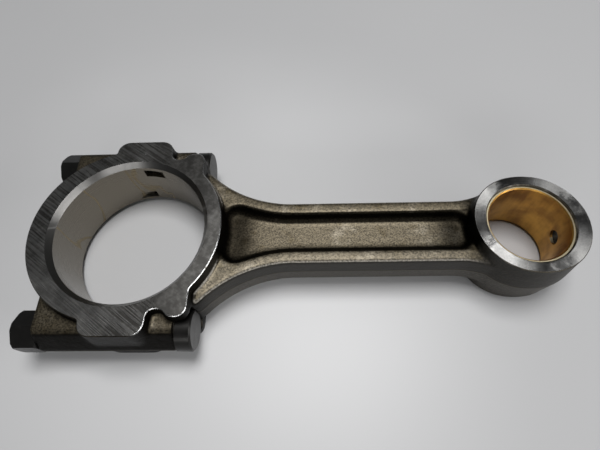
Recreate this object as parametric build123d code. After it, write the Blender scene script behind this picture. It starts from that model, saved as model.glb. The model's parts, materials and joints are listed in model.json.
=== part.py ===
from build123d import *
import os
from math import cos, radians, sin, tan

os.makedirs("parts", exist_ok=True)

# Small diesel connecting rod. Millimetres. The origin is the centre of the big-end bore, +X runs to
# the small end and +Z runs along both bores. The cap joint lies in the plane x = 0.

# Both ends
CENTRES = 143.0  # big-end axis to small-end axis
HALF_WIDTH = 13.2  # mid-plane to each ground side face
DRAFT = 5.0  # degrees, on every forged side wall

# Big end
BEARING_R = 27.5  # housing bore for the bearing shells
BEARING_CHAMFER = 1.6  # radial size of the chamfer at each mouth
BEARING_CHAMFER_DEPTH = 2.15
RING_R = 34.0  # outline of the side face around the bore
CROWN_R = 35.85  # thicker crown of the cap
LUG_X = (-10.0, 11.9)  # square lug over the joint
LUG_Y = 38.6
LUG_CORNER_R = 4.3
LUG_ROOT_Y = 20.0
LUG_ROOT_R = 1.2
EAR_X = (18.9, 25.1)  # small ear over each bolt head
EAR_Y = 32.4
EAR_CORNER_R = 3.3
HOLLOW_Y = 29.7  # floor of the hollow between lug and ear
HOLLOW_END_X = 17.2
HOLLOW_R = 2.6

# Bolt bosses
BOLT_Y = 33.65
BOSS_X = (-27.7, 20.0)  # nut face and bolt-head face
BOSS_HALF_HEIGHT = 9.2
BOSS_TOP_Y = 36.4
BOSS_RIDGE_Y = 40.6
BOSS_RIDGE_HALF = 0.6
BOSS_ROOT_Y = 22.0
BOSS_EDGE_R = 2.6
NOTCH_Y = 27.45  # flat wall that stops the bolt head turning
NOTCH_HALF_HEIGHT = 8.6
NOTCH_CORNER_R = 2.0

# Shank, an I section
FLANGE_HALF_HEIGHT = 8.15
SHANK_HALF_WIDTH = 12.2
SHANK_DRAFT = 2.0
SHANK_X = (60.0, 118.0)  # the straight part
FLARE_R = 45.0  # where the shank widens into the big end
FLARE_X = 27.0
SHANK_ROOT_X = 10.0  # hidden in the big-end ring
FLANGE_WIDTH = 4.9
WEB_HALF = 4.45
POCKET_FLARE_ANGLE = 18.0  # degrees, where the pocket widens towards the big end
POCKET_RING_R = 34.3
POCKET_EYE_R = 19.2
POCKET_CORNER_R = 5.0
POCKET_DRAFT = 12.0
POCKET_ROOT_R = 3.0
FLANGE_EDGE_R = 1.3
RING_OVERLAP = 1.0  # how far the shank runs into the big-end ring

# Small end
EYE_R = 18.75
EYE_SHIFT = (-0.65, 1.3)  # the eye is drawn out a little along the rod
BUSH_R = 15.0
BUSH_CHAMFER = 0.45
PIN_R = 14.0
BUSH_RECESS = 1.0
OIL_HOLE_R = 2.75

# Bearing-tang slots, cut by a disc
TANG_DISC_R = 12.0
TANG_DEPTH = 1.8
TANG_WIDTH = 4.1
TANG_ROD_Z = 7.35
TANG_CAP_Z = -8.05

# Bolts and nuts
SHANK_BOLT_R = 4.5
BOLT_HOLE_R = 4.55
THREAD_R = 4.38
THREAD_START_X = -17.0
HEAD_R = 7.2
HEAD_HEIGHT = 5.5
HEAD_FLAT = 6.05  # bolt axis to the flat of the head
HEAD_CHAMFER = 0.6
NUT_FLATS = 13.0
NUT_LENGTH = 8.5
NUT_BORE_R = 4.43
NUT_TURN = 30.0  # degrees, a corner points along Z
NUT_CHAMFER_RUN = 1.0  # radial
NUT_CHAMFER_RISE = 0.6  # along the bolt
BOLT_STICK_OUT = 1.0
TIP_CHAMFER = 0.8

BIG = 400.0  # longer than the rod, for cutters
TOLERANCE = 0.01


def rectangle(x_low, x_high, y_low, y_high):
    """A rectangle given by its sides."""
    size_x = x_high - x_low
    size_y = y_high - y_low
    return Pos((x_low + x_high) / 2, (y_low + y_high) / 2) * Rectangle(size_x, size_y)


def round_corners(sketch, radius, *places):
    """Rounds the corners of a sketch that lie nearest the given places."""
    corners = []
    for x, y in places:
        corners.append(min(sketch.vertices(), key=lambda v: abs(v.X - x) + abs(v.Y - y)))
    return fillet(corners, radius)


def forged(outline, half_height, draft):
    """Both halves of a forging: the outline at the top, growing to the parting line at z = 0."""
    top = extrude(Pos(0, 0, half_height) * outline, half_height, dir=(0, 0, -1), taper=-draft)
    return top + mirror(top, Plane.XY)


def lug_and_ear():
    """Joint lug and ear of the +Y side in one outline, with the hollow between them."""
    corners = {
        (LUG_X[0], LUG_Y): LUG_CORNER_R,
        (LUG_X[1], LUG_Y): LUG_CORNER_R,
        (LUG_X[1], HOLLOW_Y): HOLLOW_R,
        (HOLLOW_END_X, HOLLOW_Y): HOLLOW_R,
        (EAR_X[0], EAR_Y): HOLLOW_R,
        (EAR_X[1], EAR_Y): EAR_CORNER_R,
    }
    sketch = make_face(Polyline((LUG_X[0], LUG_ROOT_Y), *corners, (EAR_X[1], LUG_ROOT_Y), close=True))
    for place, radius in corners.items():
        sketch = round_corners(sketch, radius, place)
    return sketch


def big_end_outline():
    """Side face of the big end: ring, thicker crown, joint lugs and ears."""
    upper = lug_and_ear()
    hollow = rectangle(LUG_X[1], EAR_X[0], LUG_ROOT_Y, LUG_Y)
    ring = Circle(RING_R) + Pos(RING_R - CROWN_R, 0) * Circle(RING_R)
    outline = ring - hollow - mirror(hollow, Plane.XZ)
    outline = outline + upper + mirror(upper, Plane.XZ)
    roots = [(x, side * (RING_R**2 - x**2) ** 0.5) for x in (LUG_X[0], EAR_X[1]) for side in (-1, 1)]
    return round_corners(outline, LUG_ROOT_R, *roots)


def boss(side):
    """One bolt boss, from the nut face to the bolt-head face."""
    upper = [(BOSS_ROOT_Y, BOSS_HALF_HEIGHT), (BOSS_TOP_Y, BOSS_HALF_HEIGHT), (BOSS_RIDGE_Y, BOSS_RIDGE_HALF)]
    lower = [(y, -z) for y, z in reversed(upper)]
    section = make_face(Polyline(*upper, *lower, close=True))
    shoulders = [(BOSS_TOP_Y, BOSS_HALF_HEIGHT), (BOSS_TOP_Y, -BOSS_HALF_HEIGHT)]
    section = round_corners(section, BOSS_EDGE_R, *shoulders)
    length = BOSS_X[1] - BOSS_X[0]
    block = extrude(Plane.YZ.offset(BOSS_X[0]) * section, length)
    return block if side > 0 else mirror(block, Plane.XZ)


def big_end():
    """Rod and cap of the big end in one piece, forged and machined all over its bores and faces."""
    hub = forged(big_end_outline(), HALF_WIDTH, DRAFT)
    for side in (-1, 1):
        hub += boss(side)
    hub -= Cylinder(BEARING_R, BIG)
    for side in (-1, 1):
        mouth = Cone(BEARING_R, BEARING_R + BEARING_CHAMFER, BEARING_CHAMFER_DEPTH)
        mouth = Pos(0, 0, HALF_WIDTH - BEARING_CHAMFER_DEPTH / 2) * mouth
        hub -= mouth if side > 0 else mirror(mouth, Plane.XY)
        hub -= Pos(0, side * BOLT_Y, 0) * Rot(0, 90, 0) * Cylinder(BOLT_HOLE_R, BIG)
        notch_width = 2 * (BOSS_RIDGE_Y - NOTCH_Y)
        notch = RectangleRounded(notch_width, 2 * NOTCH_HALF_HEIGHT, NOTCH_CORNER_R)
        notch = extrude(Plane.YZ.offset(BOSS_X[1]) * notch, BIG)
        hub -= Pos(0, side * BOSS_RIDGE_Y, 0) * notch
    return hub


def tang_slot(z):
    """Disc-cut slot that locates a bearing shell, deepest at the cap joint."""
    return Pos(0, BEARING_R + TANG_DEPTH - TANG_DISC_R, z) * Cylinder(TANG_DISC_R, TANG_WIDTH)


def shank_outline():
    """Top of the flanges: straight sides that flare into both ends."""
    big_x, small_x = SHANK_X
    run = big_x - FLARE_X
    flare_y = SHANK_HALF_WIDTH + FLARE_R - (FLARE_R**2 - run**2) ** 0.5
    eye_r = EYE_R + (HALF_WIDTH - FLANGE_HALF_HEIGHT) * tan(radians(DRAFT))
    to_eye = CENTRES - small_x
    eye_flare_r = (to_eye**2 + SHANK_HALF_WIDTH**2 - eye_r**2) / 2 / (eye_r - SHANK_HALF_WIDTH)
    share = eye_flare_r / (eye_flare_r + eye_r)
    touch = (small_x + to_eye * share, (SHANK_HALF_WIDTH + eye_flare_r) * (1 - share))
    side = [
        Line((SHANK_ROOT_X, 0), (SHANK_ROOT_X, flare_y)),
        Line((SHANK_ROOT_X, flare_y), (FLARE_X, flare_y)),
        RadiusArc((FLARE_X, flare_y), (big_x, SHANK_HALF_WIDTH), -FLARE_R),
        Line((big_x, SHANK_HALF_WIDTH), (small_x, SHANK_HALF_WIDTH)),
        RadiusArc((small_x, SHANK_HALF_WIDTH), touch, -eye_flare_r),
        Line(touch, (CENTRES, 0)),
    ]
    half = make_face(Curve() + side + Line((CENTRES, 0), (SHANK_ROOT_X, 0)))
    return half + mirror(half, Plane.XZ)


def pocket_outline():
    """Floor of the pocket, between the flanges and short of both ends."""
    half_width = SHANK_HALF_WIDTH - FLANGE_WIDTH
    flare_r = FLARE_R + FLANGE_WIDTH
    turn = radians(POCKET_FLARE_ANGLE)
    flare_start = (SHANK_X[0], half_width)
    flare_end = (SHANK_X[0] - flare_r * sin(turn), half_width + flare_r * (1 - cos(turn)))
    root_y = flare_end[1] + (flare_end[0] - SHANK_ROOT_X) * tan(turn)
    side = [
        Line((SHANK_ROOT_X, 0), (SHANK_ROOT_X, root_y)),
        Line((SHANK_ROOT_X, root_y), flare_end),
        RadiusArc(flare_end, flare_start, -flare_r),
        Line(flare_start, (CENTRES, half_width)),
        Line((CENTRES, half_width), (CENTRES, 0)),
    ]
    half = make_face(Curve() + side + Line((CENTRES, 0), (SHANK_ROOT_X, 0)))
    floor = half + mirror(half, Plane.XZ) - Circle(POCKET_RING_R) - Pos(CENTRES, 0) * Circle(POCKET_EYE_R)
    floor = floor.face()
    ends = floor.vertices().sort_by(Axis.X)
    return fillet([*ends[:2], *ends[-2:]], POCKET_CORNER_R)


def pocket():
    """Cutter for the hollow on the upper side of the web."""
    depth = FLANGE_HALF_HEIGHT - WEB_HALF
    top = Pos(0, 0, FLANGE_HALF_HEIGHT) * pocket_outline()
    cutter = extrude(top, depth, dir=(0, 0, -1), taper=POCKET_DRAFT)
    return fillet(cutter.edges().group_by(Axis.Z)[0], POCKET_ROOT_R)


def flange_edges(shape):
    """Flat edges at the height of the flange tops, above and below."""
    flat = shape.edges().filter_by(lambda edge: edge.bounding_box().size.Z < TOLERANCE)
    return flat.filter_by(lambda edge: abs(abs(edge.center().Z) - FLANGE_HALF_HEIGHT) < TOLERANCE)


def shank():
    """I-section shank, with both pockets cut and its flange edges rounded."""
    blank = forged(shank_outline(), FLANGE_HALF_HEIGHT, SHANK_DRAFT)
    hollow = pocket()
    section = blank - hollow - mirror(hollow, Plane.XY)
    return fillet(flange_edges(section), FLANGE_EDGE_R)


def small_end():
    """Forged eye of the small end."""
    circles = [Pos(CENTRES + shift, 0) * Circle(EYE_R) for shift in EYE_SHIFT]
    return forged(make_hull(circles[0].edges() + circles[1].edges()), HALF_WIDTH, DRAFT)


def oil_hole():
    """Oil drilling along the rod axis, through the far wall of the small end."""
    at_centre = (Align.CENTER, Align.CENTER, Align.MIN)
    return Pos(CENTRES, 0, 0) * Rot(0, 90, 0) * Cylinder(OIL_HOLE_R, BIG, align=at_centre)


def bush_bore():
    """Bore of the steel small end, with a small chamfer at each mouth."""
    bore = Cylinder(BUSH_R, BIG)
    mouth = Cone(BUSH_R, BUSH_R + BUSH_CHAMFER, BUSH_CHAMFER)
    mouth = Pos(0, 0, HALF_WIDTH - BUSH_CHAMFER / 2) * mouth
    return Pos(CENTRES, 0, 0) * (bore + mouth + mirror(mouth, Plane.XY))


def half_space(side):
    """Everything on one side of the cap joint."""
    return Pos(side * BIG / 2, 0, 0) * Box(BIG, BIG, BIG)


def rod_body(hub):
    """Forged rod: upper half of the big end, shank and small end."""
    rod = hub & half_space(1)
    rod += shank() - Cylinder(RING_R - RING_OVERLAP, BIG)
    rod += small_end()
    rod -= bush_bore()
    rod -= oil_hole()
    return rod - tang_slot(TANG_ROD_Z)


def bearing_cap(hub):
    """Lower half of the big end, held by the bolts and nuts."""
    return (hub & half_space(-1)) - tang_slot(TANG_CAP_Z)


def small_end_bush():
    """Bronze bush pressed into the small end."""
    length = 2 * (HALF_WIDTH - BUSH_RECESS)
    bush = Cylinder(BUSH_R, length) - Cylinder(PIN_R, BIG)
    mouths = bush.edges().filter_by(GeomType.CIRCLE).group_by(SortBy.RADIUS)[0]
    bush = chamfer(mouths, BUSH_CHAMFER)
    return Pos(CENTRES, 0, 0) * bush - oil_hole()


def rod_bolt():
    """Body-fit bolt along +X with a round head and one flat, its axis on the X axis."""
    tip_x = BOSS_X[0] - NUT_LENGTH - BOLT_STICK_OUT
    body = Plane.YZ.offset(THREAD_START_X) * Circle(SHANK_BOLT_R)
    body = extrude(body, BOSS_X[1] - THREAD_START_X)
    thread = extrude(Plane.YZ.offset(tip_x) * Circle(THREAD_R), THREAD_START_X - tip_x)
    thread = chamfer(thread.edges().sort_by(Axis.X)[0], TIP_CHAMFER)
    flat = Pos(HEAD_FLAT + HEAD_R, 0) * Rectangle(2 * HEAD_R, 4 * HEAD_R)
    head = extrude(Plane.YZ.offset(BOSS_X[1]) * (Circle(HEAD_R) - flat), HEAD_HEIGHT)
    head = chamfer(head.edges().group_by(Axis.X)[-1], HEAD_CHAMFER)
    return body + thread + head


def rod_nut():
    """Hexagon nut with both ends chamfered, its axis on the X axis."""
    hexagon = RegularPolygon(NUT_FLATS / 2, 6, major_radius=False, rotation=NUT_TURN)
    nut = extrude(Plane.YZ.offset(BOSS_X[0] - NUT_LENGTH) * hexagon, NUT_LENGTH)
    middle = Pos(BOSS_X[0] - NUT_LENGTH / 2, 0, 0) * Rot(0, 90, 0)
    envelope = Cylinder(NUT_FLATS / 2 + NUT_CHAMFER_RUN, NUT_LENGTH)
    envelope = chamfer(envelope.edges(), NUT_CHAMFER_RISE, NUT_CHAMFER_RUN)
    return (nut & middle * envelope) - middle * Cylinder(NUT_BORE_R, BIG)


def write(name, shape):
    """Saves one sub-part."""
    export_step(shape, f"parts/{name}.step")


hub = big_end()
write("rod_body", rod_body(hub))
write("bearing_cap", bearing_cap(hub))
write("small_end_bush", small_end_bush())
for name, side in (("left", 1), ("right", -1)):
    bolt = rod_bolt() if side < 0 else mirror(rod_bolt(), Plane.XZ)
    write(f"rod_bolt_{name}", Pos(0, side * BOLT_Y, 0) * bolt)
    write(f"rod_nut_{name}", Pos(0, side * BOLT_Y, 0) * rod_nut())
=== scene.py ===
import json
import logging
import math
from dataclasses import dataclass, field
from enum import Enum
from typing import Callable, Iterable

import bmesh
import bpy
from mathutils import Matrix, Vector


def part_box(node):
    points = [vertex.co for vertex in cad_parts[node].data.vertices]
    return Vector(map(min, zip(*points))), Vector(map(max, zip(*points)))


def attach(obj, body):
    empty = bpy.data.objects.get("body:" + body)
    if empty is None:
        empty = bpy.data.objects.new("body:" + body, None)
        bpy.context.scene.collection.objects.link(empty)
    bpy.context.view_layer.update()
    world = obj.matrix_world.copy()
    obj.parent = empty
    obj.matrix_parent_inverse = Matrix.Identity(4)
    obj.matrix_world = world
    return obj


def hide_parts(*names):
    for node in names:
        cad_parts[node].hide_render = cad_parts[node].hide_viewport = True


# Small diesel connecting rod. Metres. The origin is the centre of the big-end bore, +X runs to the
# small end, +Z along both bores, and the cap joint lies in the plane x = 0.

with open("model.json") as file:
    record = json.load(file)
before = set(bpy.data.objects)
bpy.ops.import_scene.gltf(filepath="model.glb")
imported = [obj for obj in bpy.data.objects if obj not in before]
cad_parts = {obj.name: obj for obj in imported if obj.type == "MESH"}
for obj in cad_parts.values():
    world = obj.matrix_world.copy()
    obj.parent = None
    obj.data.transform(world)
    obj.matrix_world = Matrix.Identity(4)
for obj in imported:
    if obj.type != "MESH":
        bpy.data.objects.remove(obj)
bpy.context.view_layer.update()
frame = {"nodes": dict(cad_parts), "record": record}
LOG = logging.getLogger("connecting_rod")

MM = 0.001
HAIR = 0.02 * MM  # how far a face may lie from the tool that cut it
Colour = tuple[float, float, float, float]
Link = "Value | bpy.types.NodeSocket | float | tuple"
Fade = tuple[float, float]  # a look starts at the first place and is full at the second
HEAD_HEIGHT = 5.5 * MM


def bore_mount(name: str) -> tuple[Vector, float]:
    """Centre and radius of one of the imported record's bores.

    Args:
        name: the mount's name.

    Returns:
        The centre and the radius, in metres.
    """
    mount = next(m for m in frame["record"]["mounts"] if m["name"] == name)
    return Vector(mount["pos_m"]), mount["dims"]["r_mm"] * MM


BEARING_CENTRE, BEARING_R = bore_mount("big_end_bore")
PIN_CENTRE, PIN_R = bore_mount("small_end_bore")
HALF_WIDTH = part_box("rod_body")[1].z


class Slot(Enum):
    """The record's material slots."""

    FORGED = "forged_steel"
    BRONZE = "bush_bronze"
    BOLT = "bolt_steel"


class Skin(Enum):
    """The surfaces that a finished piece may show, in the order of its material slots."""

    FORGED = 0
    GROUND = 1
    BORED = 2
    MILLED = 3
    POLISHED = 4


# ---------------------------------------------------------------- shader maths


class Value:
    """A number in a node tree. Arithmetic on it adds Math nodes."""

    def __init__(self, shader: "Shader", socket: bpy.types.NodeSocket) -> None:
        """Wraps one output socket of a shader's tree."""
        self.shader = shader
        self.socket = socket

    def math(self, operation: str, *others: Link, first: bool = True) -> "Value":
        """Adds one Math node.

        Args:
            operation: the node's operation.
            others: the other operands.
            first: whether this value is the first operand.

        Returns:
            The node's result.
        """
        operands = (self, *others) if first else (*others, self)
        inputs = dict(enumerate(operands))
        return self.shader.value("ShaderNodeMath", {"operation": operation}, inputs)

    def __add__(self, other: Link) -> "Value":
        """Sum."""
        return self.math("ADD", other)

    def __sub__(self, other: Link) -> "Value":
        """Difference."""
        return self.math("SUBTRACT", other)

    def __rsub__(self, other: Link) -> "Value":
        """Difference, from a plain number."""
        return self.math("SUBTRACT", other, first=False)

    def __mul__(self, other: Link) -> "Value":
        """Product."""
        return self.math("MULTIPLY", other)

    __radd__ = __add__
    __rmul__ = __mul__

    def __abs__(self) -> "Value":
        """Size without the sign."""
        return self.math("ABSOLUTE")

    def __pow__(self, other: Link) -> "Value":
        """Power."""
        return self.math("POWER", other)


class Shader:
    """The node tree of one material."""

    def __init__(self, name: str) -> None:
        """Makes an empty material of that name."""
        self.material = bpy.data.materials.new(name)
        self.material.use_nodes = True
        self.tree = self.material.node_tree
        self.tree.nodes.clear()
        place = self.node("ShaderNodeTexCoord")
        self.place = place.outputs["Object"]
        self.facing = place.outputs["Normal"]

    def node(self, kind: str, settings: dict | None = None, inputs: dict | None = None) -> bpy.types.Node:
        """Adds one node.

        Args:
            kind: the node's type.
            settings: its properties.
            inputs: the values or links of its sockets, by name or number.

        Returns:
            The node.
        """
        made = self.tree.nodes.new(kind)
        for name, value in (settings or {}).items():
            setattr(made, name, value)
        for name, value in (inputs or {}).items():
            if isinstance(value, Value):
                value = value.socket
            if isinstance(value, bpy.types.NodeSocket):
                self.tree.links.new(value, made.inputs[name])
            else:
                made.inputs[name].default_value = value
        return made

    def value(self, kind: str, settings: dict | None = None, inputs: dict | None = None) -> Value:
        """Adds one node and wraps its first output as a number."""
        return Value(self, self.node(kind, settings, inputs).outputs[0])

    def axes(self, vector: bpy.types.NodeSocket) -> tuple[Value, Value, Value]:
        """The three components of a vector."""
        split = self.node("ShaderNodeSeparateXYZ", inputs={0: vector})
        return tuple(Value(self, output) for output in split.outputs)

    def noise(self, size: float, detail: float = 3.0, rough: float = 0.5, warp: float = 0.0,
              place: bpy.types.NodeSocket | None = None) -> Value:
        """Cloudy noise from 0 to 1.

        Args:
            size: width of one patch, in metres.
            detail: how many finer layers it has.
            rough: how strong those are.
            warp: how far it is distorted.
            place: where it is read, if not at the object's own coordinates.

        Returns:
            The noise.
        """
        inputs = {"Vector": place or self.place, "Scale": 1 / size, "Detail": detail}
        inputs |= {"Roughness": rough, "Distortion": warp}
        return self.value("ShaderNodeTexNoise", inputs=inputs)

    def specks(self, size: float) -> Value:
        """Distance from scattered points, which are about size apart."""
        return self.value("ShaderNodeTexVoronoi", inputs={"Vector": self.place, "Scale": 1 / size})

    def turned(self, degrees: float, stretch: tuple[float, float, float],
               centre: Vector = Vector()) -> bpy.types.NodeSocket:
        """Coordinates turned about Z and stretched.

        Args:
            degrees: how far they turn.
            stretch: the scale along each new axis.
            centre: the point that becomes the origin.

        Returns:
            The new coordinates.
        """
        moved = self.node("ShaderNodeVectorMath", {"operation": "SUBTRACT"}, {0: self.place, 1: centre})
        turn = {"Vector": moved.outputs[0], "Rotation": (0, 0, math.radians(degrees))}
        turned = self.node("ShaderNodeMapping", inputs=turn)
        scaled = {"Vector": turned.outputs[0], "Scale": stretch}
        return self.node("ShaderNodeMapping", inputs=scaled).outputs[0]

    def rings(self, width: float, centre: Vector) -> Value:
        """Uneven rings about an axis along Z, as a turned face has.

        Args:
            width: width of one ring, in metres.
            centre: a point on the axis.

        Returns:
            Noise from 0 to 1 that changes with the radius alone.
        """
        x, y, _ = self.axes(self.turned(0, (1, 1, 1), centre))
        radius = (x * x + y * y) ** 0.5
        settings = {"noise_dimensions": "1D"}
        return self.value("ShaderNodeTexNoise", settings, {"W": radius, "Scale": 1 / width, "Detail": 2.0})

    def band(self, value: Value, low: float, high: float) -> Value:
        """Smooth step from 0 at low to 1 at high, and the other way round if low is the higher."""
        inputs = {"Value": value, "From Min": low, "From Max": high}
        return self.value("ShaderNodeMapRange", {"interpolation_type": "SMOOTHSTEP"}, inputs)

    def mix(self, share: Link, first: Link, second: Link, how: str = "MIX") -> bpy.types.NodeSocket:
        """Mixes two colours.

        Args:
            share: how much of the second, from 0 to 1.
            first: the first colour.
            second: the second colour.
            how: the blend mode.

        Returns:
            The mixed colour.
        """
        settings = {"data_type": "RGBA", "blend_type": how}
        return self.node("ShaderNodeMix", settings, {0: share, 6: first, 7: second}).outputs[2]

    def bump(self, height: Value, depth: float, strength: float = 1.0,
             under: bpy.types.NodeSocket | None = None) -> bpy.types.NodeSocket:
        """Bumps the surface.

        Args:
            height: from 0 to 1.
            depth: how far 1 stands above 0, in metres.
            strength: share of the bump that shows.
            under: a coarser bump that this one lies on.

        Returns:
            The normal.
        """
        inputs = {"Height": height, "Distance": depth, "Strength": strength}
        if under:
            inputs["Normal"] = under
        return self.node("ShaderNodeBump", inputs=inputs).outputs[0]

    def finish(self, **inputs: Link) -> bpy.types.Material:
        """Ends the tree in a Principled shader.

        Args:
            inputs: its sockets, with underscores for spaces.

        Returns:
            The material.
        """
        named = {name.replace("_", " "): value for name, value in inputs.items()}
        surface = self.node("ShaderNodeBsdfPrincipled", inputs=named)
        self.node("ShaderNodeOutputMaterial", inputs={"Surface": surface.outputs[0]})
        return self.material


# ---------------------------------------------------------------- finishes


def grey(level: float, warmth: float = 0.0) -> Colour:
    """A grey, warmer towards brown as warmth rises.

    Args:
        level: its brightness.
        warmth: how much red it gains and blue it loses.

    Returns:
        The colour.
    """
    return (level * (1 + warmth), level * (1 + 0.25 * warmth), level * (1 - warmth), 1.0)


@dataclass(frozen=True)
class ForgedSkin:
    """Shot-blasted forging, partly brown oxide: lighter where it faces up or down and darker on its walls as
    painted light and shade, with painted shade in its pocket and on its bosses and painted highlights on its
    edges.
    """

    # top and bright on faces that face up or down, wall on the walls: painted light and shade by facing,
    # partly brown oxide
    top: Colour = grey(0.092, 0.28)
    bright: Colour = grey(0.19, 0.20)
    wall: Colour = grey(0.018, 0.22)
    # edge: painted highlight on the rounded edges, partly wear
    lower_wall: Colour = grey(0.060, 0.14)
    edge: Colour = grey(0.42, 0.10)
    # painted shade: near-black on the pocket walls and the bosses
    shadow_black: Colour = grey(0.004, 0.25)
    stain: Colour = grey(0.05, 0.45)
    bare: Colour = grey(0.48)
    grain: float = 0.65 * MM
    patch: float = 9 * MM
    rim: Fade = (HALF_WIDTH - 0.26 * MM, HALF_WIDTH - 0.26 * MM + 0.05 * MM)
    seam: float = 0.55 * MM  # half the width of the parting line
    # Where painted shade darkens the forging: the bosses, the pocket and its ends, the eye root and the big
    # end's corners.
    boss_x: Fade = (34 * MM, 22 * MM)
    shank_start_x: Fade = (24 * MM, 28 * MM)
    shank_end_x: Fade = (134 * MM, 128 * MM)
    pocket_start_x: Fade = (50 * MM, 38 * MM)
    pocket_start_y: Fade = (13 * MM, 9 * MM)
    pocket_end_x: Fade = (106 * MM, 121 * MM)
    pocket_end_y: Fade = (9 * MM, 7 * MM)
    pocket_wall: Fade = (4 * MM, 1 * MM)  # y times the slope towards Y, which is less inside the pocket
    eye_root_x: Fade = (119 * MM, 128 * MM)
    corner_x: Fade = (17 * MM, 21 * MM)
    corner_y: Fade = (20 * MM, 28 * MM)
    # where the lower flange gets a painted sheen
    lower_flange_y: Fade = (-4 * MM, -9 * MM)
    lower_wall_z: Fade = (0.5 * MM, -1.5 * MM)
    bare_from_x: Fade = (-1 * MM, 2 * MM)
    bare_to_x: Fade = (80 * MM, 60 * MM)
    bare_to_y: Fade = (38.6 * MM, 37.6 * MM)

    def material(self) -> bpy.types.Material:
        """Builds the material."""
        shader = Shader("forged_skin")
        x, y, z = shader.axes(shader.place)
        _, across, up = shader.axes(shader.facing)
        up = abs(up)
        clouds = shader.noise(self.patch, 4, 0.6)
        drift = (clouds - 0.5) * 8 * MM
        grain = shader.noise(self.grain, 3, 0.7)
        coarse = shader.noise(self.grain * 3.5, 2, 0.5)
        flat = shader.band(up + (clouds - 0.5) * 0.3, 0.55, 0.97)
        # Painted shade in the pocket, at its ends, at the eye root and near the big end's corners.
        shank = shader.band(x, *self.shank_start_x) * shader.band(x, *self.shank_end_x)
        pocket = shader.band(y * across, *self.pocket_wall) * shank
        start = shader.band(x + drift, *self.pocket_start_x) * shader.band(abs(y), *self.pocket_start_y)
        end = shader.band(x + drift, *self.pocket_end_x) * shader.band(abs(y), *self.pocket_end_y)
        ends = start * shank + shader.band(x + drift, *self.eye_root_x) * shank + end * shank
        ends = shader.band(ends + pocket * shader.band(up, 0.995, 0.90), 0, 1)
        corner = shader.band(abs(y) + drift * 0.5, *self.corner_y)
        corner = corner * (shader.band(x, *self.corner_x) * 0.4 + 0.4)
        flat = flat * (1 - ends * 0.85) * (1 - corner)
        boss = shader.band(x, *self.boss_x)
        top = shader.mix(shader.band(clouds, 0.52, 0.75), self.top, self.bright)
        top = shader.mix(shader.band(shader.noise(5 * MM, 3), 0.55, 0.72) * 0.6, top, self.stain)
        # Walls darker above the parting line and lighter below it.
        wall = shader.mix(shader.band(z, *self.lower_wall_z), self.wall, self.lower_wall)
        # Painted shade: near-black on the pocket walls and the bosses.
        dark = shader.band(pocket + boss, 0, 0.9)
        # Lighter faces up and down and darker walls: painted light and shade by facing.
        colour = shader.mix(flat, shader.mix(dark, wall, self.shadow_black), top)
        # Painted highlight on the rounded edges, partly wear, and a painted sheen on the lower flange.
        worn = shader.band(up, 0.45, 0.65) * shader.band(up, 0.97, 0.8) * (1 - pocket) * 0.55
        worn = worn + shader.band(y, *self.lower_flange_y) * flat * 0.06
        colour = shader.mix(worn * (1 - ends) * shank, colour, self.edge)
        speckle = shader.mix(shader.band(grain, 0.3, 0.7), grey(0.25), grey(1.5))
        colour = shader.mix(0.9, colour, speckle, "MULTIPLY")
        rim = shader.band(abs(z), *self.rim)
        rim = rim * shader.band(shader.noise(3 * MM, 3), 0.25, 0.4)
        fresh = rim * shader.band(x, *self.bare_from_x) * shader.band(x, *self.bare_to_x)
        fresh = fresh * shader.band(abs(y), *self.bare_to_y)
        colour = shader.mix(fresh, colour, self.bare)
        # Painted highlight along the parting-line ridge.
        seam = shader.band(abs(z + (clouds - 0.5) * MM), self.seam, self.seam / 3)
        colour = shader.mix(seam * 0.35, colour, self.top)
        normal = shader.bump(clouds + seam * 0.5, 0.3 * MM, 0.6)
        normal = shader.bump(coarse, 0.12 * MM, 0.7, normal)
        normal = shader.bump(grain, 0.08 * MM, 0.9, normal)
        return shader.finish(
            Base_Color=colour,
            Metallic=0.5 + flat * 0.25 + fresh * 0.25 + dark * (1 - flat) * 0.5,
            Roughness=0.50 - fresh * 0.25 - flat * 0.06 + (grain - 0.5) * 0.25,
            Normal=normal,
        )


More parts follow.
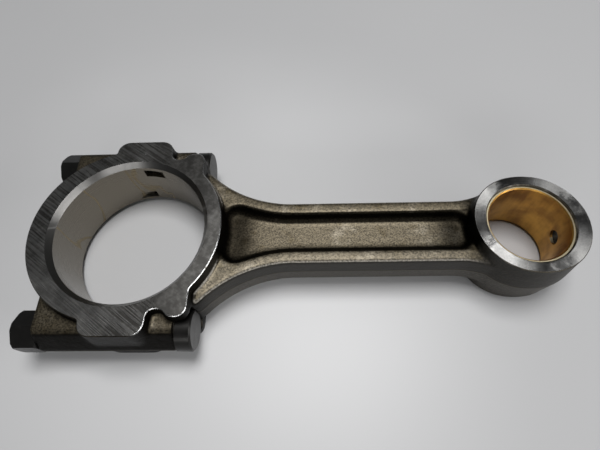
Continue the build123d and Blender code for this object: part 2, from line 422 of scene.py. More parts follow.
@dataclass(frozen=True)
class GroundFace:
    """Side face from the surface grinder, with slanting grinding marks, painted light below the bore on the
    cap side and painted shade on the rod side.
    """

    dark: Colour = grey(0.09, 0.05)
    light: Colour = grey(0.42, 0.03)
    nick: Colour = grey(0.8)
    slant: float = 36.0
    mark: float = 0.62 * MM
    marked_x: Fade = (16 * MM, 4 * MM)
    # painted shade on the rod side; painted light below the bore on the cap side
    rod_side_x: Fade = (-6 * MM, 8 * MM)
    light_x: Fade = (4 * MM, -8 * MM)
    light_y: Fade = (5 * MM, -25 * MM)

    def material(self) -> bpy.types.Material:
        """Builds the material."""
        shader = Shader("ground_face")
        x, y, _ = shader.axes(shader.place)
        lines = shader.noise(self.mark, 2, 0.6, place=shader.turned(self.slant, (0.035, 1, 1)))
        fine = shader.noise(self.mark / 5, 2, 0.6, place=shader.turned(self.slant, (0.02, 1, 1)))
        clouds = shader.noise(9 * MM, 5, 0.65, 0.4)
        mottle = shader.noise(1.6 * MM, 3, 0.6)
        marked = shader.band(x + (clouds - 0.5) * 20 * MM, *self.marked_x)
        marks = shader.band(lines, 0.42, 0.6)
        # Painted light below the bore on the cap side.
        painted_light_patch = shader.band(y, *self.light_y) * shader.band(x, *self.light_x)
        shade = clouds * 0.6 + (marks - 0.1) * marked * 0.85 + (fine - 0.5) * 0.3 + (mottle - 0.5) * 0.6
        # Painted light on the cap side below the bore, painted shade on the rod side.
        shade = shade + painted_light_patch * 0.33 - shader.band(x, *self.rod_side_x) * 0.12 - 0.12
        colour = shader.mix(shade, self.dark, self.light)
        nicks = shader.band(shader.specks(7 * MM), 0.055, 0.03)
        colour = shader.mix(nicks, colour, self.nick)
        normal = shader.bump(marks * marked, 0.03 * MM, 0.8)
        normal = shader.bump(fine, 0.006 * MM, 0.6, normal)
        return shader.finish(
            Base_Color=colour,
            Metallic=1.0,
            Roughness=0.30 - marks * marked * 0.08 + (clouds - 0.5) * 0.2,
            Normal=normal,
        )


@dataclass(frozen=True)
class PolishedFace:
    """Side face of the small end, polished by its neighbours in use, with four painted highlights round it.
    """

    # light: the colour of the painted highlights
    dark: Colour = grey(0.14, 0.03)
    light: Colour = grey(0.90, 0.02)
    highlight_lands: int = 4  # bright places round the face, painted highlights
    first_highlight: float = 50.0
    centre: Vector = field(default_factory=lambda: Vector(PIN_CENTRE))

    def material(self) -> bpy.types.Material:
        """Builds the material."""
        shader = Shader("polished_face")
        clouds = shader.noise(7 * MM, 4, 0.6, 0.3)
        grain = shader.noise(0.5 * MM, 3, 0.6)
        scores = shader.rings(0.3 * MM, self.centre)
        x, y, _ = shader.axes(shader.turned(0, (1, 1, 1), self.centre))
        around = y.math("ARCTAN2", x) + (clouds - 0.5) * 1.2
        # Painted highlights: bright sweeps round the face, where a circular lay would catch the light.
        worn = (around * self.highlight_lands - math.radians(self.first_highlight) * self.highlight_lands).math("COSINE")
        shade = worn * 0.42 + clouds * 0.5 + (grain - 0.5) * 0.5 + (scores - 0.5) * 0.25 + 0.2
        normal = shader.bump(scores, 0.02 * MM, 1.0)
        normal = shader.bump(grain, 0.008 * MM, 0.5, normal)
        return shader.finish(
            Base_Color=shader.mix(shade, self.dark, self.light),
            Metallic=1.0,
            Roughness=0.27 + (clouds - 0.5) * 0.3 + worn * 0.07,
            Normal=normal,
        )


@dataclass(frozen=True)
class BoredSurface:
    """Fine-bored steel with faint tool rings and a little dried oil."""

    steel: Colour = grey(0.19, 0.09)
    dull: Colour = grey(0.19, 0.16)
    mouth: Colour = grey(0.15, 0.03)
    oil: Colour = grey(0.12, 0.45)
    feed: float = 0.35 * MM
    dull_y: Fade = (-12 * MM, 26 * MM)

    def material(self) -> bpy.types.Material:
        """Builds the material."""
        shader = Shader("bored_surface")
        _, y, _ = shader.axes(shader.place)
        rings = shader.noise(self.feed, 2, 0.6, place=shader.turned(0, (0.02, 0.02, 1)))
        clouds = shader.noise(14 * MM, 3, 0.5)
        streaks = shader.noise(16 * MM, 2, 0.5, 0.6, place=shader.turned(0, (1, 1, 0.4)))
        colour = shader.mix(clouds * 0.4 + shader.band(y, *self.dull_y) * 0.7, self.steel, self.dull)
        oily = shader.band(streaks, 0.52, 0.54) * shader.band(streaks, 0.57, 0.55)
        colour = shader.mix(oily * 0.8, colour, self.oil)
        mouth = shader.band(abs(shader.axes(shader.facing)[2]), 0.3, 0.5)
        colour = shader.mix(mouth, colour, self.mouth)
        return shader.finish(
            Base_Color=colour,
            Metallic=1.0 - oily * 0.6,
            Roughness=0.26 + mouth * 0.06 + (clouds - 0.5) * 0.2 + (rings - 0.5) * 0.1,
            Normal=shader.bump(rings, 0.005 * MM, 0.8),
        )


@dataclass(frozen=True)
class MilledCut:
    """Bare milled or drilled steel, gone dark with oil; in the bore of the eye its darkness is painted
    shade.
    """

    steel: Colour = grey(0.045, 0.2)
    bare: Colour = grey(0.14, 0.1)

    def material(self) -> bpy.types.Material:
        """Builds the material."""
        shader = Shader("milled_cut")
        clouds = shader.noise(2.5 * MM, 4, 0.6)
        tool = shader.noise(0.4 * MM, 2, 0.5, place=shader.turned(0, (1, 0.1, 1)))
        return shader.finish(
            Base_Color=shader.mix(shader.band(clouds, 0.45, 0.7), self.steel, self.bare),
            Metallic=0.8,
            Roughness=0.45 + (clouds - 0.5) * 0.3,
            Normal=shader.bump(tool, 0.01 * MM, 0.8),
        )


@dataclass(frozen=True)
class BushBronze:
    """Bored bronze, golden brown with darker streaks and a bright rim."""

    gold: Colour = (0.62, 0.34, 0.075, 1.0)
    pale: Colour = (0.62, 0.54, 0.36, 1.0)
    brown: Colour = (0.30, 0.15, 0.045, 1.0)

    def material(self) -> bpy.types.Material:
        """Builds the material."""
        shader = Shader("bush_bronze")
        up = abs(shader.axes(shader.facing)[2])
        rings = shader.noise(0.3 * MM, 2, 0.6, place=shader.turned(0, (0.03, 0.03, 1)))
        clouds = shader.noise(9 * MM, 3, 0.55)
        streaks = shader.noise(2.6 * MM, 3, 0.6, place=shader.turned(0, (1, 1, 0.12)))
        colour = shader.mix(shader.band(clouds + (streaks - 0.5) * 0.5, 0.3, 0.75), self.gold, self.brown)
        colour = shader.mix(shader.band(up, 0.85, 0.97), colour, self.pale)
        return shader.finish(
            Base_Color=colour,
            Metallic=1.0,
            Roughness=0.38 + (clouds - 0.5) * 0.25 + (rings - 0.5) * 0.1,
            Normal=shader.bump(rings, 0.006 * MM, 0.8),
        )


@dataclass(frozen=True)
class BlackOxide:
    """Blackened bolts and nuts, rubbed grey on their ends and corners."""

    black: Colour = grey(0.018, 0.05)
    rubbed: Colour = grey(0.03, 0.04)

    def material(self) -> bpy.types.Material:
        """Builds the material."""
        shader = Shader("black_oxide")
        along = abs(shader.axes(shader.facing)[0])
        clouds = shader.noise(3 * MM, 4, 0.65)
        grain = shader.noise(0.35 * MM, 3, 0.6)
        worn = shader.band(along, 0.85, 0.98) * shader.band(clouds, 0.3, 0.6)
        worn = worn + shader.band(clouds * grain, 0.36, 0.5) * 0.4
        return shader.finish(
            Base_Color=shader.mix(worn, self.black, self.rubbed),
            Metallic=0.75,
            Roughness=0.36 + (clouds - 0.5) * 0.3 + (grain - 0.5) * 0.15,
            Normal=shader.bump(grain, 0.02 * MM, 0.6),
        )


@dataclass(frozen=True)
class TableTop:
    """Pale table under the rod, with a painted pool of light round the rod that fades to a painted shade
    further out.
    """

    pale: Colour = (0.60, 0.60, 0.605, 1.0)
    # pale near the rod and shade further out: a painted pool of light
    shade: Colour = (0.47, 0.47, 0.475, 1.0)
    middle: Vector = field(default_factory=lambda: Vector((0.02, 0.0, 0.0)))
    shaded: Fade = (20 * MM, 150 * MM)

    def material(self) -> bpy.types.Material:
        """Builds the material."""
        shader = Shader("table_top")
        clouds = shader.noise(0.12, 3, 0.5)
        grain = shader.noise(1.2 * MM, 3, 0.6)
        x, y, _ = shader.axes(shader.turned(0, (1, 1, 1), self.middle))
        # Painted pool of light round the rod, fading to painted shade.
        painted_falloff = shader.band((x * x + y * y) ** 0.5, *self.shaded)
        return shader.finish(
            Base_Color=shader.mix(painted_falloff + (clouds - 0.5) * 0.3, self.pale, self.shade),
            Roughness=0.42,
            Normal=shader.bump(grain, 0.02 * MM, 0.3),
        )


# ---------------------------------------------------------------- mesh tools


def placed(name: str, mesh: bmesh.types.BMesh) -> bpy.types.Object:
    """Turns a bmesh into an object at the origin.

    Args:
        name: the object's name.
        mesh: the bmesh, which is used up.

    Returns:
        The object, linked to the scene.
    """
    data = bpy.data.meshes.new(name)
    bmesh.ops.recalc_face_normals(mesh, faces=mesh.faces)
    mesh.to_mesh(data)
    mesh.free()
    made = bpy.data.objects.new(name, data)
    bpy.context.scene.collection.objects.link(made)
    return made


def settle(piece: bpy.types.Object) -> None:
    """Applies every modifier on a piece."""
    bpy.context.view_layer.update()
    graph = bpy.context.evaluated_depsgraph_get()
    data = bpy.data.meshes.new_from_object(piece.evaluated_get(graph))
    piece.modifiers.clear()
    piece.data = data


def discard(pieces: Iterable[bpy.types.Object]) -> None:
    """Removes construction objects."""
    for piece in list(pieces):
        bpy.data.objects.remove(piece)


def combine(piece: bpy.types.Object, how: str, tools: list[bpy.types.Object]) -> None:
    """Cuts, joins or trims a piece with tools, and removes the tools.

    Args:
        piece: the closed piece.
        how: DIFFERENCE, UNION or INTERSECT.
        tools: closed shapes.
    """
    for tool in tools:
        step = piece.modifiers.new(tool.name, "BOOLEAN")
        step.operation = how
        step.solver = "MANIFOLD"
        step.object = tool
    settle(piece)
    discard(tools)


def cone(start: Vector, end: Vector, radii: tuple[float, float], sides: int = 128) -> bpy.types.Object:
    """A cone or cylinder between two points.

    Args:
        start: centre of the first end.
        end: centre of the other end.
        radii: the radius at each.
        sides: how many sides it has.

    Returns:
        The closed shape.
    """
    axis = end - start
    turn = Vector((0, 0, 1)).rotation_difference(axis).to_matrix().to_4x4()
    where = Matrix.Translation((start + end) / 2) @ turn
    mesh = bmesh.new()
    bmesh.ops.create_cone(mesh, cap_ends=True, segments=sides, radius1=radii[0], radius2=radii[1],
                          depth=axis.length, matrix=where)
    return placed("cone", mesh)


def cylinder(start: Vector, end: Vector, radius: float, sides: int = 128) -> bpy.types.Object:
    """A closed cylinder between two points."""
    return cone(start, end, (radius, radius), sides)


def block(low: Vector, high: Vector, edge_radius: float = 0.0) -> bpy.types.Object:
    """A box with its long edges rounded along X.

    Args:
        low: lowest corner.
        high: highest corner.
        edge_radius: radius of the edges along X.

    Returns:
        The closed shape.
    """
    mesh = bmesh.new()
    size = Matrix.Diagonal((high - low).to_4d())
    bmesh.ops.create_cube(mesh, size=1.0, matrix=Matrix.Translation((low + high) / 2) @ size)
    if edge_radius:
        edges = [e for e in mesh.edges if abs((e.verts[0].co - e.verts[1].co).normalized().x) > 0.99]
        bmesh.ops.bevel(mesh, geom=edges, offset=edge_radius, offset_type="OFFSET", segments=6,
                        profile=0.5, affect="EDGES", material=-1)
    return placed("block", mesh)


def sharpen(piece: bpy.types.Object, degrees: float = 32.0) -> None:
    """Shades a piece smooth, with a crease wherever it turns by more than the angle."""
    piece.data.shade_smooth()
    piece.data.set_sharp_from_angle(angle=math.radians(degrees))


@dataclass
class CutRule:
    """Says which skin the faces cut by one tool have."""

    skin: Skin
    test: Callable[[Vector, Vector], bool]


def hand_over(piece: bpy.types.Object, node: str, body: str,
              finishes: list[bpy.types.Material], rules: Iterable[CutRule] = ()) -> None:
    """Gives a finished piece its materials, its body and the node it stands for.

    Args:
        piece: the finished piece.
        node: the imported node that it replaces.
        body: the body that it moves with.
        finishes: its materials, in the order of Skin.
        rules: tests of a face's centre and normal, of which it takes the first that it meets.
    """
    piece.data.materials.clear()
    for finish in finishes:
        piece.data.materials.append(finish)
    for face in piece.data.polygons:
        skins = (rule.skin.value for rule in rules if rule.test(face.center, face.normal))
        face.material_index = next(skins, Skin.FORGED.value)
    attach(piece, body)
    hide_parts(node)
    LOG.info("%s: %d faces on body %s", piece.name, len(piece.data.polygons), body)


# ---------------------------------------------------------------- sub-assemblies


@dataclass
class BigEnd:
    """Sizes that the rod and its cap share, and the tools that machine them."""

    chamfer: float = 1.6 * MM
    chamfer_depth: float = 2.15 * MM
    bolt_y: float = 33.65 * MM
    bolt_hole: float = 4.55 * MM
    head_face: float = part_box("rod_bolt_left")[1].x - HEAD_HEIGHT
    nut_face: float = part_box("rod_nut_left")[1].x
    notch_y: float = 27.45 * MM
    notch_half: float = 8.6 * MM
    notch_corner: float = 2 * MM
    tang_radius: float = 12 * MM
    tang_depth: float = 1.8 * MM
    tang_width: float = 4.1 * MM
    stock: float = 1.5 * MM  # left on a forging for machining
    broken_edge: float = 0.3 * MM
    voxel: float = 0.6 * MM
    soften: float = 0.5
    soften_steps: int = 5
    bore_plug: float = 3 * MM  # past the bearing bore
    bolt_plug: float = 6 * MM
    plug_short: float = MM / 2  # a plug ends inside the face that it runs to
    reach: float = 60 * MM  # past the edge of the big end
    span: float = 0.3  # past the whole rod

    def bores(self) -> list[bpy.types.Object]:
        """Tools for the bearing bore and its two mouths."""
        up = Vector((0, 0, 1))
        tools = [cylinder(-up * self.reach, up * self.reach, BEARING_R, 256)]
        slope = self.chamfer / self.chamfer_depth
        for side in (-1, 1):
            start = up * side * (HALF_WIDTH - self.chamfer_depth)
            end = up * side * (HALF_WIDTH + self.stock)
            flare = BEARING_R + self.chamfer + slope * self.stock
            tools.append(cone(start, end, (BEARING_R, flare), 256))
        return tools

    def bolt_holes(self, radius: float, low: float, high: float) -> list[bpy.types.Object]:
        """Rods or tools along both bolt axes.

        Args:
            radius: their radius.
            low: x of one end.
            high: x of the other.

        Returns:
            The two cylinders.
        """
        ends = [(Vector((low, s * self.bolt_y, 0)), Vector((high, s * self.bolt_y, 0))) for s in (-1, 1)]
        return [cylinder(start, end, radius, 64) for start, end in ends]

    def notches(self) -> list[bpy.types.Object]:
        """Tools for the seats of the two bolt heads."""
        low = Vector((self.head_face, self.notch_y, -self.notch_half))
        high = Vector((self.reach, self.reach, self.notch_half))
        mirrored = (Vector((low.x, -high.y, low.z)), Vector((high.x, -low.y, high.z)))
        return [block(low, high, self.notch_corner), block(*mirrored, self.notch_corner)]

    def tang_slot(self, z: float) -> bpy.types.Object:
        """Tool for one slot that locates a bearing shell."""
        centre = Vector((0, BEARING_R + self.tang_depth - self.tang_radius, z))
        half = Vector((0, 0, self.tang_width / 2))
        return cylinder(centre - half, centre + half, self.tang_radius, 96)

    def blank(self, node: str, plugs: list[bpy.types.Object], joint_side: int) -> bpy.types.Object:
        """The forging before it is machined: stock on every machined face, bores solid, edges soft.

        Args:
            node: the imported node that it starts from.
            plugs: shapes that fill its bores.
            joint_side: 1 if it lies on the +X side of the cap joint, or -1.

        Returns:
            The blank.
        """
        mesh = bmesh.new()
        mesh.from_mesh(frame["nodes"][node].data)
        bmesh.ops.remove_doubles(mesh, verts=mesh.verts, dist=HAIR / 10)
        for vert in mesh.verts:
            if abs(vert.co.z) > HALF_WIDTH - HAIR:
                vert.co.z += math.copysign(self.stock, vert.co.z)
            if abs(vert.co.x) < HAIR:
                vert.co.x -= joint_side * self.stock
        made = placed(f"{node}_forging", mesh)
        combine(made, "UNION", plugs)
        remesh = made.modifiers.new("skin", "REMESH")
        remesh.mode = "VOXEL"
        remesh.voxel_size = self.voxel
        soften = made.modifiers.new("soften", "SMOOTH")
        soften.factor = self.soften
        soften.iterations = self.soften_steps
        settle(made)
        return self.face(made)

    def face(self, forging: bpy.types.Object) -> bpy.types.Object:
        """Grinds both sides of a blank, and breaks the edge all round each face.

        Args:
            forging: the blank.

        Returns:
            The same blank.
        """
        level = HALF_WIDTH - self.broken_edge
        corner = Vector((self.span, self.span, level))
        combine(forging, "INTERSECT", [block(-corner, corner)])
        mesh = bmesh.new()
        mesh.from_mesh(forging.data)
        faces = bmesh.ops.dissolve_faces(mesh, faces=self.level_faces(mesh, level))["region"]
        edges = list({e for f in faces for e in f.edges})
        bmesh.ops.dissolve_degenerate(mesh, edges=edges, dist=self.broken_edge / 2)
        bmesh.ops.inset_region(mesh, faces=self.level_faces(mesh, level), thickness=self.broken_edge,
                               depth=self.broken_edge, use_even_offset=False, use_boundary=True)
        mesh.to_mesh(forging.data)
        mesh.free()
        return forging

    def level_faces(self, mesh: bmesh.types.BMesh, level: float) -> list[bmesh.types.BMFace]:
        """The faces of a mesh that lie at plus or minus that level."""
        return [f for f in mesh.faces if all(abs(v.co.z) > level - HAIR / 2 for v in f.verts)]


def round_rule(skin: Skin, centre: Vector, axis: int, low: float, high: float) -> CutRule:
    """A rule for a bore or a conical mouth.

    Args:
        skin: the skin that it leaves.
        centre: a point on its axis.
        axis: 0 for an axis along X, 2 for one along Z.
        low: the smallest radius.
        high: the largest radius.

    Returns:
        The rule.
    """
    def test(place: Vector, normal: Vector) -> bool:
        """Whether a face lies on the bore."""
        arm = place - centre
        arm[axis] = 0
        return low - HAIR * 3 < arm.length < high + HAIR and arm.dot(normal) < 0
    return CutRule(skin, test)


def flat_rule(skin: Skin, axis: int, level: float) -> CutRule:
    """A rule for a flat cut square to one axis, at plus or minus that level."""
    return CutRule(skin, lambda p, n: abs(abs(p[axis]) - level) < HAIR and abs(n[axis]) > 0.999)


@dataclass
class Cap:
    """Bearing cap: the lower half of the big end."""

    big_end: BigEnd
    tang_z: float = -8.05 * MM

    def build(self, finishes: list[bpy.types.Material]) -> None:
        """Forges and machines the cap, and hands it over."""
        big = self.big_end
        up = Vector((0, 0, HALF_WIDTH + big.stock))
        plugs = [
            cylinder(-up, up, BEARING_R + big.bore_plug),
            *big.bolt_holes(big.bolt_plug, big.nut_face + big.plug_short, 0),
        ]
        cap = big.blank("bearing_cap", plugs, -1)
        envelope = block(Vector((big.nut_face - big.reach, -big.reach, -up.z)), Vector((0, big.reach, up.z)))
        combine(cap, "INTERSECT", [envelope])
        tools = [*big.bores(), *big.bolt_holes(big.bolt_hole, -2 * big.reach, big.reach)]
        combine(cap, "DIFFERENCE", [*tools, big.tang_slot(self.tang_z)])
        sharpen(cap)
        hand_over(cap, "bearing_cap", "cap", finishes, self.rules())

    def rules(self) -> list[CutRule]:
        """The skins of the cap's cuts."""
        big = self.big_end
        bolts = [Vector((0, side * big.bolt_y, 0)) for side in (-1, 1)]
        return [
            flat_rule(Skin.GROUND, 2, HALF_WIDTH),
            flat_rule(Skin.MILLED, 0, 0),
            round_rule(Skin.BORED, BEARING_CENTRE, 2, BEARING_R, BEARING_R),
            round_rule(Skin.BORED, BEARING_CENTRE, 2, BEARING_R, BEARING_R + big.chamfer),
            *[round_rule(Skin.MILLED, bolt, 0, big.bolt_hole, big.bolt_hole) for bolt in bolts],
        ]


@dataclass
class Rod:
    """Forged rod: upper half of the big end, shank and small end."""

    big_end: BigEnd
    tang_z: float = 7.35 * MM
    eye_bore: float = 15 * MM
    eye_chamfer: float = 0.45 * MM
    oil_hole: float = 2.75 * MM
    eye_plug: float = 2 * MM  # past the bore of the eye
    plug_wall: float = 0.6 * MM

    def build(self, finishes: list[bpy.types.Material]) -> None:
        """Forges and machines the rod, and hands it over."""
        big = self.big_end
        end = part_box("rod_body")[1].x
        up = Vector((0, 0, HALF_WIDTH + big.stock))
        along = Vector((1, 0, 0))
        plugs = [
            cylinder(-up, up, BEARING_R + big.bore_plug),
            cylinder(PIN_CENTRE - up, PIN_CENTRE + up, self.eye_bore + self.eye_plug),
            cylinder(PIN_CENTRE, along * (end - big.plug_short / 2), self.oil_hole + self.plug_wall, 48),
            *big.bolt_holes(big.bolt_plug, 0, big.head_face - big.plug_short),
        ]
        rod = big.blank("rod_body", plugs, 1)
        envelope = block(Vector((0, -big.reach, -up.z)), Vector((end, big.reach, up.z)))
        combine(rod, "INTERSECT", [envelope])
        tools = [
            *big.bores(),
            *self.eye_tools(),
            *big.notches(),
            *big.bolt_holes(big.bolt_hole, -big.reach, big.reach),
            big.tang_slot(self.tang_z),
            cylinder(PIN_CENTRE, along * 2 * end, self.oil_hole, 48),
        ]
        combine(rod, "DIFFERENCE", tools)
        sharpen(rod)
        hand_over(rod, "rod_body", "rod", finishes, self.rules())

    def eye_tools(self) -> list[bpy.types.Object]:
        """Tools for the bore of the small end and its two mouths."""
        up = Vector((0, 0, 1))
        reach = self.big_end.stock
        tools = [cylinder(PIN_CENTRE - up * 2 * HALF_WIDTH, PIN_CENTRE + up * 2 * HALF_WIDTH, self.eye_bore)]
        for side in (-1, 1):
            start = PIN_CENTRE + up * side * (HALF_WIDTH - self.eye_chamfer)
            end = PIN_CENTRE + up * side * (HALF_WIDTH + reach)
            tools.append(cone(start, end, (self.eye_bore, self.eye_bore + self.eye_chamfer + reach)))
        return tools

    def rules(self) -> list[CutRule]:
        """The skins of the rod's cuts."""
        big = self.big_end
        bolts = [Vector((0, side * big.bolt_y, 0)) for side in (-1, 1)]
        mouth = self.eye_bore + self.eye_chamfer
        return [
            CutRule(Skin.POLISHED, lambda p, n: p.x > PIN_CENTRE.x / 2 and abs(p.z) > HALF_WIDTH - HAIR),
            flat_rule(Skin.GROUND, 2, HALF_WIDTH),
            flat_rule(Skin.MILLED, 0, 0),
            flat_rule(Skin.MILLED, 0, big.head_face),
            round_rule(Skin.BORED, BEARING_CENTRE, 2, BEARING_R, BEARING_R + big.chamfer),
            # the bore of the eye above the bush and its mouth take the dark milled skin as painted shade
            round_rule(Skin.MILLED, PIN_CENTRE, 2, self.eye_bore, mouth),
            round_rule(Skin.MILLED, PIN_CENTRE, 0, self.oil_hole, self.oil_hole),
            *[round_rule(Skin.MILLED, bolt, 0, big.bolt_hole, big.bolt_hole) for bolt in bolts],
        ]


@dataclass
class Bush:
    """Bronze bush pressed into the small end."""

    outer: float = 15 * MM
    recess: float = 1 * MM
    chamfer: float = 0.45 * MM
    oil_hole: float = 2.75 * MM
    sides: int = 160

    def build(self, finish: bpy.types.Material) -> None:
        """Turns, drills and hands over the bush."""
        mesh = bmesh.new()
        rim, inner = HALF_WIDTH - self.recess, PIN_R
        section = [
            (inner + self.chamfer, rim), (self.outer, rim), (self.outer, -rim),
            (inner + self.chamfer, -rim), (inner, self.chamfer - rim), (inner, rim - self.chamfer),
        ]
        points = [mesh.verts.new(PIN_CENTRE + Vector((r, 0, z))) for r, z in section]
        ring = [mesh.edges.new((points[i - 1], points[i])) for i in range(len(points))]
        bmesh.ops.spin(mesh, geom=points + ring, cent=PIN_CENTRE, axis=(0, 0, 1), angle=math.tau,
                       steps=self.sides, use_merge=True)
        bush = placed("bush_sleeve", mesh)
        reach = Vector((2 * self.outer, 0, 0))
        combine(bush, "DIFFERENCE", [cylinder(PIN_CENTRE, PIN_CENTRE + reach, self.oil_hole, 48)])
        sharpen(bush)
        hand_over(bush, "small_end_bush", "rod", [finish])


@dataclass
class Thread:
    """A screw thread along X."""

    crest: float
    root: float
    pitch: float = 1.0 * MM
    flank: float = 0.44  # half the foot of the ridge, as a share of the pitch
    tip: float = 0.06  # half its top
    sunk: float = 0.1 * MM
    steps: int = 32  # in one turn

    def coil(self, start: Vector, length: float) -> bpy.types.Object:
        """One closed ridge or groove round an axis along X.

        Args:
            start: a point on the axis, at the end with the lower x.
            length: how far it runs.

        Returns:
            The closed coil.
        """
        inner = self.root + math.copysign(self.sunk, self.root - self.crest)
        flank = self.flank * self.pitch
        tip = self.tip * self.pitch
        section = [(-flank, inner), (-tip, self.crest), (tip, self.crest), (flank, inner)]
        mesh = bmesh.new()
        points = [mesh.verts.new(start + Vector((x, 0, r))) for x, r in section]
        face = mesh.faces.new(points)
        turns = length / self.pitch
        steps = round(turns * self.steps)
        bmesh.ops.spin(mesh, geom=[face, *face.verts, *face.edges], cent=start, axis=(1, 0, 0),
                       dvec=(length / steps, 0, 0), angle=turns * math.tau, steps=steps)
        bmesh.ops.remove_doubles(mesh, verts=mesh.verts, dist=HAIR / 10)
        return placed("coil", mesh)


@dataclass
class BoltAndNut:
    """Fitted bolt with a round head and one flat, and its chamfered hexagon nut."""

    side: int
    name: str
    big_end: BigEnd
    shank: float = 4.5 * MM
    crest: float = 4.38 * MM
    root: float = 3.78 * MM
    thread_x: float = -17 * MM
    head: float = 7.2 * MM
    head_flat: float = 6.05 * MM
    head_chamfer: float = 0.6 * MM
    nut_flats: float = 13 * MM
    nut_bore: float = 4.43 * MM
    nut_groove: float = 4.95 * MM
    nut_turn: float = 30.0  # degrees, a corner points along Z
    corner_cut: float = 1.1 * MM  # along the bolt
    corner_seat: float = 0.35 * MM  # past the flats, where the corner cut starts
    corner_past: float = 0.3 * MM  # past the corners, where it ends
    thread_lead: float = 1.2 * MM  # plain end ahead of the bolt's thread
    overrun: float = MM  # tools past the nut's ends
    joined: float = MM / 4  # overlap of two lengths of a bolt

    def axis(self, x: float) -> Vector:
        """The point of the bolt's axis at that x."""
        return Vector((x, self.side * self.big_end.bolt_y, 0))

    def build(self, finish: bpy.types.Material) -> None:
        """Builds and hands over the bolt and the nut."""
        hand_over(self.bolt(), f"rod_bolt_{self.name}", f"{self.name}_bolt", [finish])
        hand_over(self.nut(), f"rod_nut_{self.name}", f"{self.name}_nut", [finish])

    def bolt(self) -> bpy.types.Object:
        """The bolt, with its thread cut."""
        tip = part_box(f"rod_bolt_{self.name}")[0].x
        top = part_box(f"rod_bolt_{self.name}")[1].x
        seat = self.big_end.head_face
        neck = self.crest - self.root
        bolt = cylinder(self.axis(tip + neck), self.axis(self.thread_x), self.root, 64)
        parts = [
            cone(self.axis(tip), self.axis(tip + neck), (self.root - neck / 2, self.root), 64),
            cylinder(self.axis(self.thread_x - self.joined), self.axis(seat + self.joined), self.shank, 64),
            cylinder(self.axis(seat), self.axis(top - self.head_chamfer), self.head, 96),
            cone(self.axis(top - self.head_chamfer), self.axis(top),
                 (self.head, self.head - self.head_chamfer), 96),
            Thread(self.crest, self.root).coil(
                self.axis(tip + self.thread_lead), self.thread_x - tip - self.thread_lead),
        ]
        combine(bolt, "UNION", parts)
        flat = sorted((self.side * (self.big_end.bolt_y - self.head_flat), 0))
        low = Vector((seat, flat[0], -self.head * 2))
        combine(bolt, "DIFFERENCE", [block(low, Vector((top * 2, flat[1], self.head * 2)))])
        bolt.name = f"bolt_{self.name}"
        sharpen(bolt)
        return bolt

    def nut(self) -> bpy.types.Object:
        """The nut, with its corners turned off and its thread cut."""
        low, high = (corner.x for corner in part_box(f"rod_nut_{self.name}"))
        across_corners = self.nut_flats / math.sqrt(3)
        nut = cylinder(self.axis(low), self.axis(high), across_corners, 6)
        turn = Matrix.Rotation(math.radians(self.nut_turn), 4, "X")
        nut.data.transform(Matrix.Translation(self.axis(0)) @ turn @ Matrix.Translation(-self.axis(0)))
        inner = self.nut_flats / 2 + self.corner_seat
        slope = (across_corners + self.corner_past - inner) / self.corner_cut
        wide = inner + slope * (high - low) / 2
        middle = self.axis((low + high) / 2)
        for start, end in ((self.axis(low), middle), (self.axis(high), middle)):
            opposite = end + (end - start)
            combine(nut, "INTERSECT", [cone(start, opposite, (inner, 2 * wide - inner), 96)])
        start = self.axis(low - self.overrun)
        combine(nut, "DIFFERENCE", [cylinder(start, self.axis(high + self.overrun), self.nut_bore, 64)])
        coil = Thread(self.nut_groove, self.nut_bore).coil(start, high - low + 2 * self.overrun)
        combine(nut, "DIFFERENCE", [coil])
        nut.name = f"nut_{self.name}"
        sharpen(nut)
        return nut


@dataclass(frozen=True)
class Softbox:
    """A rectangular soft light, aimed at the middle of the rod."""

    name: str
    place: tuple[float, float, float]
    width: float
    height: float
    power: float  # watts

    def hang(self) -> None:
        """Adds the light to the scene."""
        light = bpy.data.lights.new(self.name, "AREA")
        light.shape = "RECTANGLE"
        light.size = self.width
        light.size_y = self.height
        light.energy = self.power
        lamp = bpy.data.objects.new(self.name, light)
        lamp.location = self.place
        aim = PIN_CENTRE / 2 - Vector(self.place)
        lamp.rotation_euler = aim.to_track_quat("-Z", "Y").to_euler()
        bpy.context.scene.collection.objects.link(lamp)


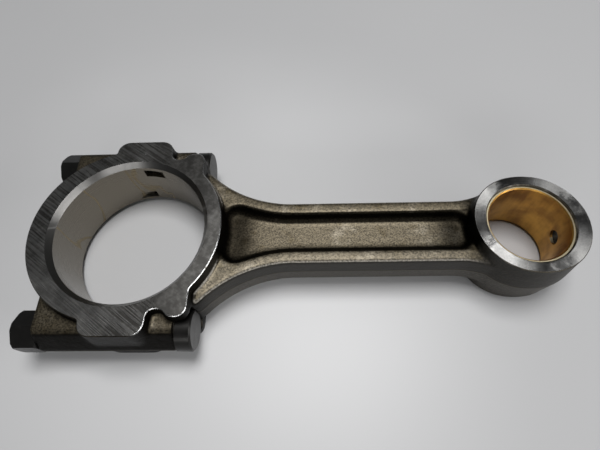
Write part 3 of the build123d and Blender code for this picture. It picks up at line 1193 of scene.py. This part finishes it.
SOFTBOXES = (
    Softbox("overhead", (0.12, 0.16, 1.0), 0.42, 0.42, 7.8),
    Softbox("window", (1.0, -0.35, 0.40), 1.1, 0.25, 5.5),
    Softbox("front", (0.0, -1.1, 0.5), 0.9, 0.2, 3.6),
)


@dataclass
class Studio:
    """Table, camera and soft lights."""

    lens: float = 25.47
    camera: Vector = field(default_factory=lambda: Vector((67.29, -69.08, 146.77)) * MM)
    pitch: float = 27.364
    roll: float = 2.112
    heading: float = 0.045
    table_size: float = 4.0
    room_colour: Colour = (0.95, 0.98, 1.0, 1.0)
    room_light: float = 0.08

    def build(self) -> None:
        """Sets up the whole studio."""
        self.table()
        self.view()
        self.world()
        for softbox in SOFTBOXES:
            softbox.hang()
        LOG.info("studio ready")

    def table(self) -> None:
        """The pale table that the rod lies on."""
        mesh = bmesh.new()
        bmesh.ops.create_grid(mesh, x_segments=8, y_segments=8, size=self.table_size / 2,
                              matrix=Matrix.Translation((0, 0, -HALF_WIDTH)))
        table = placed("table", mesh)
        table.data.materials.append(TableTop().material())

    def view(self) -> None:
        """The camera."""
        lens = bpy.data.cameras.new("camera")
        lens.lens = self.lens
        lens.clip_start = MM
        eye = bpy.data.objects.new("camera", lens)
        eye.location = self.camera
        eye.rotation_euler = [math.radians(a) for a in (self.pitch, self.roll, self.heading)]
        bpy.context.scene.collection.objects.link(eye)
        bpy.context.scene.camera = eye
        bpy.context.scene.view_settings.view_transform = "Standard"

    def world(self) -> None:
        """Dim even light of the room."""
        room = bpy.data.worlds.new("room")
        room.use_nodes = True
        backdrop = room.node_tree.nodes["Background"].inputs
        backdrop["Color"].default_value = self.room_colour
        backdrop["Strength"].default_value = self.room_light
        bpy.context.scene.world = room


def main() -> None:
    """Builds the whole rod and the studio."""
    logging.basicConfig(level=logging.INFO, format="%(message)s")
    looks = (ForgedSkin, GroundFace, BoredSurface, MilledCut, PolishedFace)
    steel = [look().material() for look in looks]
    big_end = BigEnd()
    Cap(big_end).build(steel)
    Rod(big_end).build(steel)
    Bush().build(BushBronze().material())
    oxide = BlackOxide().material()
    for side, name in ((1, "left"), (-1, "right")):
        BoltAndNut(side, name, big_end).build(oxide)
    Studio().build()


if __name__ == "__main__":
    main()
